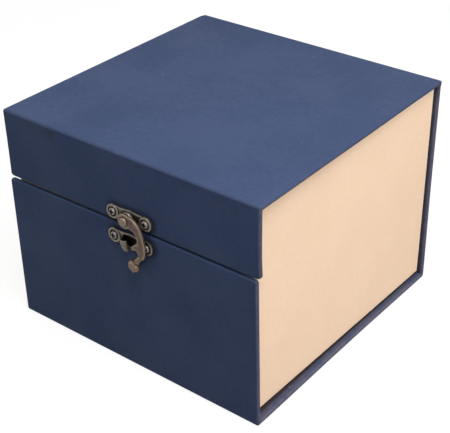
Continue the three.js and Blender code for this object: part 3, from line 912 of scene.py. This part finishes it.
def tray_wrap():
    low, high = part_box("tray_wrap_paper")
    low.z += TRAY_LIFT
    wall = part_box("tray_lining_paper")[0].x - low.x
    arc = quarter(5)
    profile = [(TRAY_TURN_IN, low.z), (TRAY_RADIUS * 1.6, low.z)]
    profile += [(TRAY_FOOT * (1 - math.sin(a)), low.z + TRAY_FOOT * (1 - math.cos(a))) for a in arc]
    profile += [(0, low.z + 3 * MM), (0, high.z - RIM_WEAR_AND_LIGHT_REACH), (0, high.z - RIM_WEAR_AND_LIGHT_REACH / 2)]
    over = [(TRAY_RIM * (1 - math.cos(a)), high.z - TRAY_RIM * (1 - math.sin(a))) for a in arc]
    profile += over + [(wall - inset, z) for inset, z in reversed(over)] + [(wall, high.z - TRAY_TURN_IN)]
    half_x = high.x - TRAY_RADIUS
    half_y = high.y - TRAY_RADIUS
    stations = []
    corners = [(half_x, half_y), (-half_x, half_y), (-half_x, -half_y), (half_x, -half_y)]
    ways = [(-1, 0), (0, -1), (1, 0), (0, 1)]
    for side, ((x, y), way) in enumerate(zip(corners, ways)):
        stations += [(x, y, side * math.pi / 2 + a) for a in quarter(6)]
        along = spread(0, 2 * (half_x if side % 2 == 0 else half_y), TRAY_STEP)[1:-1]
        stations += [(x + way[0] * t, y + way[1] * t, (side + 1) * math.pi / 2) for t in along]
    stations.append(stations[0])
    bm = bmesh.new()
    wear = bm.verts.layers.float.new("wear")
    rings = []
    for inset, z in profile:
        ring = []
        for x, y, out in stations:
            reach = TRAY_RADIUS - inset
            if reach >= 0:
                place = (x + math.cos(out) * reach, y + math.sin(out) * reach, z)
            else:
                place = (limited(x, half_x + reach), limited(y, half_y + reach), z)
            v = bm.verts.new(racked(Vector(place)))
            # Rubbed rim and painted light: the pale band reaches down the wall over the shade under the
            # lid's overhang.
            rim_wear_and_light = fading(math.hypot(inset, high.z - z), RIM_WEAR_AND_LIGHT_REACH)
            on_corner = 1.0 if out % (math.pi / 2) > 0.01 and inset <= TRAY_RIM else 0.0
            v[wear] = max(RIM_WEAR_AND_LIGHT * rim_wear_and_light, TRAY_CORNER_WEAR * on_corner)
            ring.append(v)
        rings.append(ring)
    for near, far in zip(rings, rings[1:]):
        for k in range(len(near) - 1):
            bm.faces.new((near[k], near[k + 1], far[k + 1], far[k]))
    return thick_paper("tray_wrap", bm, tray_paper)


wrap = tray_wrap()
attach(wrap, "root")
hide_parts("tray_wrap_paper")


# The boards inside: grey board cut square, with its corners and edges rubbed round.

def rounded_board(node_name, body, plan_radius, edge_radius,
                  low_trim=(0, 0, 0), high_trim=(0, 0, 0), stray=None):
    """A board in the place of its node, cut back by the trims to leave room for the folds."""
    low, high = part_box(node_name)
    low = low + Vector(low_trim)
    high = high - Vector(high_trim)
    size = high - low
    thin = min(range(3), key=lambda axis: size[axis])
    bm = bmesh.new()
    bmesh.ops.create_cube(bm, size=1, matrix=Matrix.LocRotScale((low + high) / 2, None, size))
    if plan_radius:
        across = [e for e in bm.edges if abs(e.verts[0].co[thin] - e.verts[1].co[thin]) > size[thin] / 2]
        bmesh.ops.bevel(bm, geom=across, offset=plan_radius, segments=5, profile=0.5, affect="EDGES")
    rim = [e for e in bm.edges if e.calc_face_angle(0) > math.radians(50)]
    bmesh.ops.bevel(bm, geom=rim, offset=edge_radius, segments=3, profile=0.5, affect="EDGES")
    if stray:
        for v in bm.verts:
            v.co = stray(v.co)
    mesh = mesh_from(node_name, bm)
    piece = soften(new_piece(node_name.replace("board", "greyboard"), mesh, greyboard))
    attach(piece, body)
    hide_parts(node_name)


def with_front_panel(co):
    """A place in the front board, which leans with its paper."""
    centred = co.x - FRONT_SHIFT
    return Vector((centred + case_sway(centred, front_high.z - co.z), co.y, co.z))


BOARD_PLAN = 1.7 * MM
BOARD_EDGE = 0.7 * MM
TRAY_BOARD_EDGE = 0.95 * MM
BETWEEN = (0, 4.2 * MM, 0)
UNDER_BACK_FOLD = (0, 0, 3.3 * MM)
UNDER_FLAP_FOLD = (0, 0, 2.8 * MM)
UNDER_FOLD = (0, 0, 0.9 * MM)
OVER_FOLD = (0, 0, 1.1 * MM)
rounded_board("lid_board", "lid", BOARD_PLAN, BOARD_EDGE, BETWEEN, BETWEEN)
rounded_board("flap_board", "flap", BOARD_PLAN, BOARD_EDGE, high_trim=UNDER_FLAP_FOLD)
rounded_board("front_board", "root", BOARD_PLAN, BOARD_EDGE, OVER_FOLD, UNDER_FOLD, stray=with_front_panel)
rounded_board("back_board", "root", BOARD_PLAN, BOARD_EDGE, OVER_FOLD, UNDER_BACK_FOLD)
rounded_board("base_board", "root", BOARD_PLAN, BOARD_EDGE)
for side in ("left", "right", "front", "back", "floor"):
    rounded_board(f"tray_{side}_board", "root", 0, TRAY_BOARD_EDGE, low_trim=(0, 0, TRAY_LIFT), stray=racked)


def copied_mesh(node_name, stray=None):
    """The node's own mesh, moved with the walls that it lies against."""
    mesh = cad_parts[node_name].data.copy()
    if stray:
        for v in mesh.vertices:
            v.co = stray(v.co)
    return mesh


def lining_sheet(node_name, name, body, stray=None):
    """A lining of the model with the tan paper's finish."""
    piece = soften(new_piece(name, copied_mesh(node_name, stray), tray_paper))
    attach(piece, body)
    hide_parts(node_name)


lining_sheet("tray_lining_paper", "tray_lining", "root", racked)
lining_sheet("lid_lining_paper", "lid_lining", "lid")
lining_sheet("flap_lining_paper", "flap_lining", "flap")


# Sponge: cut blocks with soft edges and a slightly uneven face.

FOAM_VOXEL = 1.4 * MM
BROAD_SWELL = 0.25 * MM
BROAD_WAVES = 60
FINE_SWELL = 0.1 * MM
FINE_WAVES = 300
FOAM_SHRINK = 0.2 * MM


def sponge_block(node_name, name, body, seed, stray=None):
    piece = new_piece(name, copied_mesh(node_name, stray), foam)
    blocky = piece.modifiers.new("cells", "REMESH")
    blocky.mode = "VOXEL"
    blocky.voxel_size = FOAM_VOXEL
    blocky.use_smooth_shade = True
    eased = piece.modifiers.new("ease", "SMOOTH")
    eased.factor = 0.5
    eased.iterations = 5
    applied(piece)
    cut = [(v.co.copy(), v.normal.copy()) for v in piece.data.vertices]
    for v, (co, normal) in zip(piece.data.vertices, cut):
        swell = BROAD_SWELL * noise.noise(co * BROAD_WAVES + Vector((seed, 0, 0)))
        swell += FINE_SWELL * noise.noise(co * FINE_WAVES)
        v.co = co + normal * (swell - FOAM_SHRINK)
    piece.data.shade_smooth()
    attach(piece, body)
    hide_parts(node_name)


sponge_block("nest_base_sponge", "nest_base", "root", 1, racked)
sponge_block("nest_ring_sponge", "nest_ring", "root", 2, racked)
sponge_block("lid_sponge", "lid_pad", "lid", 3)


# The latch: cast pieces with rounded edges, from the model's own solids.

def neighbour_mean(co, edges, passes):
    """Each vertex moved to the mean of its neighbours, several times over."""
    count = np.zeros(len(co))
    np.add.at(count, edges[:, 0], 1)
    np.add.at(count, edges[:, 1], 1)
    for _ in range(passes):
        total = np.zeros_like(co)
        np.add.at(total, edges[:, 0], co[edges[:, 1]])
        np.add.at(total, edges[:, 1], co[edges[:, 0]])
        co = total / count[:, None]
    return co


CAST_SCALE = 100
RAISED_PASSES = 24
RAISED_RANGE = 0.5 * MM


def cast_piece(node_name, name, body, metal, voxel, passes, reshape=None, stock=None, shade=None):
    """The node's solid with cast edges, and how raised each place is as its wear.

    Reshape moves the solid's points, stock adds metal and shade adjusts the wear.
    The solid is enlarged for the remesh and brought back after it.
    """
    bm = bmesh.new()
    bm.from_mesh(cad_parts[node_name].data)
    if reshape:
        for v in bm.verts:
            v.co = reshape(v.co.copy())
    if stock:
        stock(bm)
    for v in bm.verts:
        v.co *= CAST_SCALE
    piece = new_piece(name, mesh_from(name, bm), metal)
    grain = piece.modifiers.new("cast", "REMESH")
    grain.mode = "VOXEL"
    grain.voxel_size = voxel * CAST_SCALE
    applied(piece)
    co = np.zeros(len(piece.data.vertices) * 3)
    piece.data.vertices.foreach_get("co", co)
    co = co.reshape(-1, 3) / CAST_SCALE
    edges = np.zeros(len(piece.data.edges) * 2, int)
    piece.data.edges.foreach_get("vertices", edges)
    edges = edges.reshape(-1, 2)
    co = neighbour_mean(co, edges, passes)
    piece.data.vertices.foreach_set("co", co.ravel())
    piece.data.update()
    normals = np.zeros(len(co) * 3)
    piece.data.vertices.foreach_get("normal", normals)
    proud = co - neighbour_mean(co, edges, RAISED_PASSES)
    raised = (proud * normals.reshape(-1, 3)).sum(1)
    high = 0.5 + raised / RAISED_RANGE
    if shade:
        high = shade(co, high)
    wear = piece.data.attributes.new("wear", "FLOAT", "POINT")
    wear.data.foreach_set("value", high.astype(np.float32))
    piece.data.shade_smooth()
    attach(piece, body)
    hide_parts(node_name)


# The catch plate: its beak, and a thin near-black sheet behind its window as painted shade.

PLATE_BACK_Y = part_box("catch_plate")[1].y
catch_middle = (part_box("catch_plate_screw_left")[0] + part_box("catch_plate_screw_right")[1]) / 2
BEAK_START = 1.0 * MM
BEAK_RAMP = 1.5 * MM
BEAK_WAIST = -2.9 * MM
BEAK_STRETCH = 0.42
BEAK_ASIDE = 0.6 * MM
# The sheet behind the window, which carries painted shade: its size, thickness and wear.
SHADE_SHEET_HALF = (4.9 * MM, 3.0 * MM)
SHADE_SHEET_THICKNESS = 0.35 * MM
WINDOW_PAINTED_SHADE = 0.3


def longer_beak(co):
    """The beak drawn out up and down, more so the further it stands proud."""
    proud = PLATE_BACK_Y - co.y
    share = 1 - fading(max(0, proud - BEAK_START), BEAK_RAMP)
    waist = catch_middle.z + BEAK_WAIST
    co.z += (co.z - waist) * BEAK_STRETCH * share
    co.x += BEAK_ASIDE * share
    return co


def window_shade_sheet(bm):
    """A thin sheet behind the window of the catch plate, standing in for the shade in the window."""
    half_x, half_z = SHADE_SHEET_HALF
    middle = Vector((catch_middle.x, PLATE_BACK_Y - SHADE_SHEET_THICKNESS / 2, catch_middle.z))
    size = Vector((2 * half_x, SHADE_SHEET_THICKNESS, 2 * half_z))
    bmesh.ops.create_cube(bm, size=1, matrix=Matrix.LocRotScale(middle, None, size))


# Painted shade: the sheet in the window gets a wear so low that the metal shows it near-black.
def window_painted_shade(co, high):
    half_x, half_z = SHADE_SHEET_HALF
    inside = np.abs(co[:, 0] - catch_middle.x) < half_x
    inside &= np.abs(co[:, 2] - catch_middle.z) < half_z
    inside &= PLATE_BACK_Y - co[:, 1] < 1.6 * SHADE_SHEET_THICKNESS
    return np.where(inside, WINDOW_PAINTED_SHADE, high)


# The hook: its arm bulges, its foot tucks in and a neck runs down to a plump knob.
# Each neck roll gives its place right, back and up from the knob and its radius, in mm.
# Each knob roll gives its place along the knob and its share of the knob's radius.

hook_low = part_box("hook")[0]
TAIL_START = hook_low.z + 17 * MM
TAIL_REACH = 12 * MM
TAIL_SHIFT = Vector((1.1, 0, 0.9)) * MM
BULGE = 1.05 * MM
BULGE_MIDDLE = hook_low.z + 13 * MM
BULGE_FLAT = 3 * MM
BULGE_REACH = 4.5 * MM
BULGE_FROM = 8.5 * MM
BULGE_FULL = 12.5 * MM
TUCK = 2.4 * MM
TUCK_START = hook_low.z + 4.5 * MM
TUCK_REACH = 6 * MM
NECK = [(0.7, 0.35, 1.3, 1.95), (1.5, 0.6, 2.5, 1.8), (2.3, 0.9, 3.8, 1.6), (3.0, 1.15, 5.0, 1.4)]
NECK_DEPTH = 0.8
KNOB_ROLLS = [(-1, 0.86), (-0.6, 1.0), (0, 1.04), (0.6, 1.0), (1, 0.86)]
KNOB_SPAN = 0.72
KNOB_HALF = 2.2 * MM
KNOB_RADIUS = 2.35 * MM
KNOB_LEAN = 0.65
KNOB_RISE = 3.9 * MM
KNOB_SUNK = 0.4 * MM
KNOB_X = 9.2 * MM
KNOB_WEAR = 0.56


def shifted_tail(co):
    """The hook with its arm bulged, its foot tucked in and its tail set up and to the right."""
    outward = 1 - fading(max(0, co.x - BULGE_FROM), BULGE_FULL - BULGE_FROM)
    bulge = BULGE * outward * fading(max(0, abs(co.z - BULGE_MIDDLE) - BULGE_FLAT), BULGE_REACH)
    tuck = TUCK * outward * fading(max(0, co.z - TUCK_START), TUCK_REACH)
    co.x += bulge - tuck
    return co + TAIL_SHIFT * fading(max(0, co.z - TAIL_START + TAIL_REACH), TAIL_REACH)


def knob_middle():
    low_z = hook_low.z + TAIL_SHIFT.z + KNOB_RISE
    return Vector((KNOB_X, hook_low.y + KNOB_RADIUS - KNOB_SUNK, low_z))


def dull_knob(co, high):
    """The knob's broad faces are rubbed evenly, not bright."""
    low = co[:, 2] < knob_middle().z + NECK[-1][2] * MM
    return np.where(low, np.minimum(high, KNOB_WEAR), high)


def round_roll(bm, middle, radius, depth=1):
    matrix = Matrix.Translation(middle) @ Matrix.Diagonal((1, depth, 1, 1))
    bmesh.ops.create_uvsphere(bm, u_segments=20, v_segments=12, radius=radius, matrix=matrix)


def finger_knob(bm):
    """A plump rolled end for the finger: a short roll with round ends, and its neck."""
    along = Vector((math.cos(KNOB_LEAN), 0, -math.sin(KNOB_LEAN)))
    for place, share in KNOB_ROLLS:
        round_roll(bm, knob_middle() + along * KNOB_HALF * place * KNOB_SPAN, KNOB_RADIUS * share)
    for right, back, up, radius in NECK:
        round_roll(bm, knob_middle() + Vector((right, back, up)) * MM, radius * MM, NECK_DEPTH)


SLOT_HALF = 1.5 * MM
SLOT_WIDTH = 0.6 * MM
SLOT_END = 0.25 * MM
SLOT_SHADE_DARKNESS = 2.2
HEAD_FRONT = 0.9 * MM
HEAD_WEAR = 0.62
SLOT_SHADE_DROP = 0.5


def slot_painted_shade(co, high):
    """The cross slot of a screw head: a band along the cross, wider than the slot, gets painted shade."""
    low = co.min(0)
    middle = (co.min(0) + co.max(0)) / 2
    across = co - middle
    front = co[:, 1] < low[1] + HEAD_FRONT
    for a, b in ((0, 2), (2, 0)):
        beside = np.clip(1 - np.abs(across[:, a]) / SLOT_WIDTH, 0, 1)
        within = np.clip((SLOT_HALF - np.abs(across[:, b])) / SLOT_END, 0, 1)
        # Painted shade: the band along each arm of the cross is darkened.
        cut = np.minimum(1, SLOT_SHADE_DARKNESS * beside) * within * front
        high = np.minimum(high, HEAD_WEAR - SLOT_SHADE_DROP * cut)
    return high


CAST_VOXEL = 0.14 * MM
RIVET_VOXEL = 0.12 * MM
SCREW_VOXEL = 0.11 * MM
cast_piece("hook_plate", "hook_plate_cast", "flap", plate_bronze, CAST_VOXEL, 3)
cast_piece("catch_plate", "catch_plate_cast", "root", plate_bronze, CAST_VOXEL, 3,
           longer_beak, window_shade_sheet, window_painted_shade)
cast_piece("hook", "hook_cast", "hook", hook_bronze, CAST_VOXEL, 5,
           shifted_tail, finger_knob, dull_knob)
cast_piece("hook_rivet", "hook_rivet_head", "flap", hook_bronze, RIVET_VOXEL, 3)
for plate, body in (("hook_plate", "flap"), ("catch_plate", "root")):
    for side in ("left", "right"):
        cast_piece(f"{plate}_screw_{side}", f"{plate}_screw_head_{side}", body, screw_bronze,
                   SCREW_VOXEL, 2, shade=slot_painted_shade)


# Floor, light and camera.

FLOOR_HALF = 6
FLOOR_DROP = 0.05 * MM
FLOOR_GREY = (0.22, 0.22, 0.22, 1)
FLOOR_WHITENESS = 0.84
WORLD_LIGHT = 0.15
WHITE = (1, 1, 1, 1)


def seen_directly(tree):
    """1 where the background itself is looked at, in the open or in a reflection."""
    path = put(tree, "ShaderNodeLightPath")
    seen = sums(tree, "MAXIMUM", path.outputs["Is Camera Ray"], path.outputs["Is Glossy Ray"])
    return sums(tree, "MAXIMUM", seen, path.outputs["Is Transmission Ray"])


def pale_floor():
    """A pale floor that keeps the shadow and looks nearly white to the eye."""
    material, tree, shader = new_material("pale_floor")
    glow = sums(tree, "MULTIPLY", seen_directly(tree), FLOOR_WHITENESS)
    tree.links.new(glow, shader.inputs["Emission Strength"])
    shader.inputs["Emission Color"].default_value = WHITE
    shader.inputs["Base Color"].default_value = FLOOR_GREY
    shader.inputs["Roughness"].default_value = 1
    shader.inputs["Specular IOR Level"].default_value = 0
    mesh = bpy.data.meshes.new("floor")
    half = FLOOR_HALF
    corners = [(-half, -half, 0), (half, -half, 0), (half, half, 0), (-half, half, 0)]
    mesh.from_pydata(corners, [], [(0, 1, 2, 3)])
    floor = new_piece("floor", mesh, material)
    floor.location.z = -FLOOR_DROP


def studio_world():
    world = bpy.data.worlds.new("studio")
    world.use_nodes = True
    tree = world.node_tree
    background = tree.nodes["Background"]
    strength = ranged(tree, seen_directly(tree), 0.0, 1.0, WORLD_LIGHT, 1.0)
    background.inputs["Color"].default_value = WHITE
    tree.links.new(strength, background.inputs["Strength"])
    bpy.context.scene.world = world


# Each lamp's name, place in metres, side in metres and power in watts.
LAMPS = [
    ("near", (0.25, -0.3, 0.5), 0.3, 0.72),
    ("above", (0.2, -0.1, 0.6), 0.4, 2.91),
    ("right", (1.25, 0.25, 0.4), 0.8, 10.3),
    ("front_left", (-0.8, -0.8, 0.6), 0.5, 1.7),
    ("left", (-1.1, 0.45, 0.1), 0.3, 4.9),
    ("back", (-0.2, 1.2, 0.15), 0.5, 5),
]
LAMP_TARGET = Vector((0, 0, 0.06))


def soft_light(name, place, size, power):
    light = bpy.data.lights.new(name, "AREA")
    light.shape = "SQUARE"
    light.size = size
    light.energy = power
    lamp = bpy.data.objects.new(name, light)
    lamp.location = place
    lamp.rotation_mode = "QUATERNION"
    lamp.rotation_quaternion = (LAMP_TARGET - Vector(place)).to_track_quat("-Z", "Y")
    bpy.context.scene.collection.objects.link(lamp)


def photo_camera():
    data = bpy.data.cameras.new("photo_camera")
    data.lens = CAMERA_LENS
    data.sensor_width = SENSOR_WIDTH
    camera = bpy.data.objects.new("photo_camera", data)
    camera.location = CAMERA_PLACE
    camera.rotation_mode = "QUATERNION"
    aimed = Vector(CAMERA_FORWARD).to_track_quat("-Z", "Y")
    camera.rotation_quaternion = aimed @ Quaternion((0, 0, 1), CAMERA_ROLL)
    bpy.context.scene.collection.objects.link(camera)
    bpy.context.scene.camera = camera


pale_floor()
studio_world()
for lamp in LAMPS:
    soft_light(*lamp)
photo_camera()
bpy.context.scene.view_settings.view_transform = "Standard"
